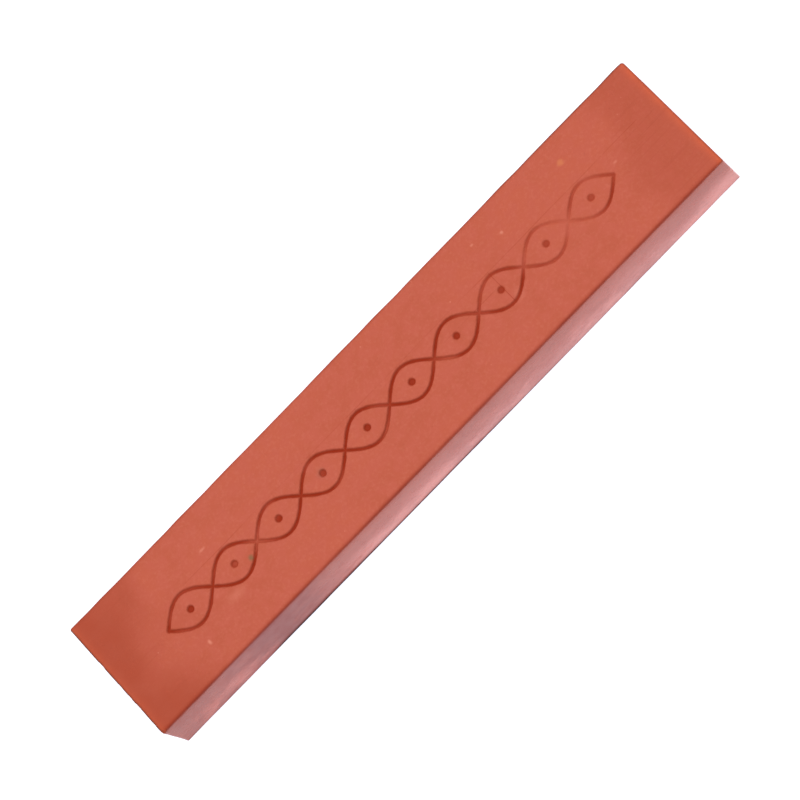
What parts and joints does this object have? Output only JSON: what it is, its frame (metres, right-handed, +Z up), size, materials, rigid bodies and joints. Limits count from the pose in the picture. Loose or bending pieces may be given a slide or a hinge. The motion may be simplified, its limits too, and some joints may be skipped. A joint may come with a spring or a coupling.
{
  "type": "drawing chalk bar",
  "caption": "Rectangular bar of pressed red-earth drawing chalk with softened edges and a shallow ornamental band stamped along its broad upper face.",
  "frame": {"origin": "centre of the broad face that the bar rests on", "axes": "+X along the bar's length, +Y across its width, +Z up out of the stamped broad face; the stamped face is at z = 7 mm"},
  "size_m": [0.075, 0.014, 0.007],
  "materials": {
    "red_chalk": "matte"
  },
  "bodies": {
    "root": {"chalk_bar": "red_chalk"}
  },
  "joints": []
}
